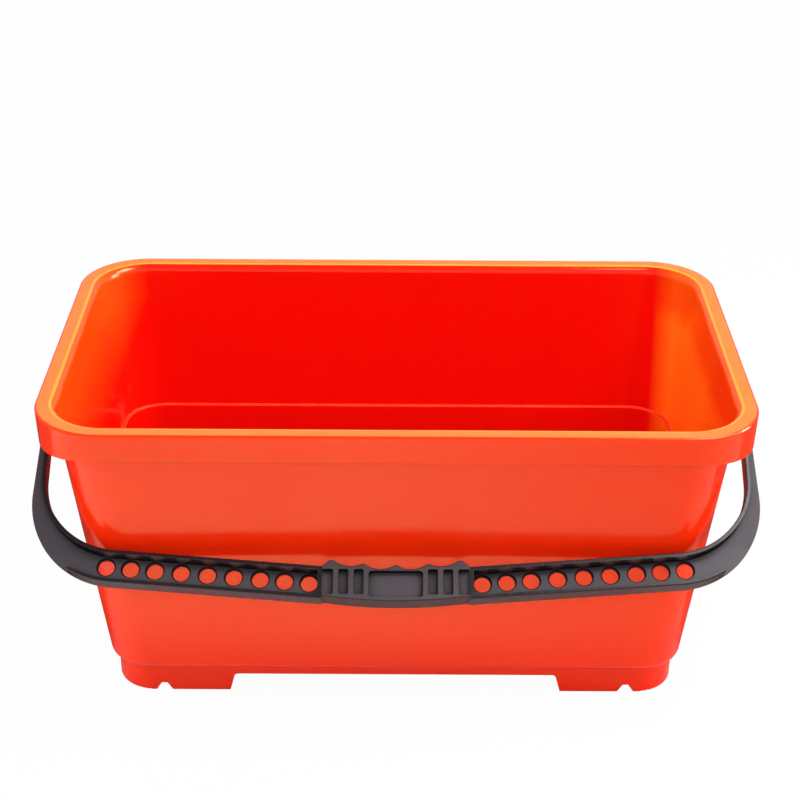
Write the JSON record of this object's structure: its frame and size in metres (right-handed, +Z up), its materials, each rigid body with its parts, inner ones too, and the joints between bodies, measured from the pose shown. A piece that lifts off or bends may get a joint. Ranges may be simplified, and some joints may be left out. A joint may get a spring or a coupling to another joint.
{
  "type": "grout cleaning bucket",
  "caption": "Open rectangular cleaning tub with tapered walls, a skirted rim, notched corner feet and a perforated swing handle with a finger grip.",
  "frame": {"origin": "on the floor under the middle of the tub, in the plane of the four feet", "axes": "+X along the tub's length, -Y to the front where the handle rests, +Z up"},
  "size_m": [0.52, 0.3117, 0.24],
  "materials": {
    "tub_plastic": "smooth, slightly translucent orange polypropylene with a soft gloss",
    "handle_plastic": "black polypropylene with a low sheen",
    "pin_plastic": "black nylon"
  },
  "bodies": {
    "tub": {"tub": "tub_plastic", "pivot_pin_left": "pin_plastic", "pivot_pin_right": "pin_plastic"},
    "handle": {"handle_arm_left": "handle_plastic", "handle_arm_right": "handle_plastic", "handle_grip": "handle_plastic"}
  },
  "joints": [
    {"name": "handle_swing", "type": "hinge", "parent": "tub", "child": "handle", "pos_m": [0, 0, 0.2256], "axis": [-1, 0, 0], "range_deg": [0, 250.9]}
  ]
}
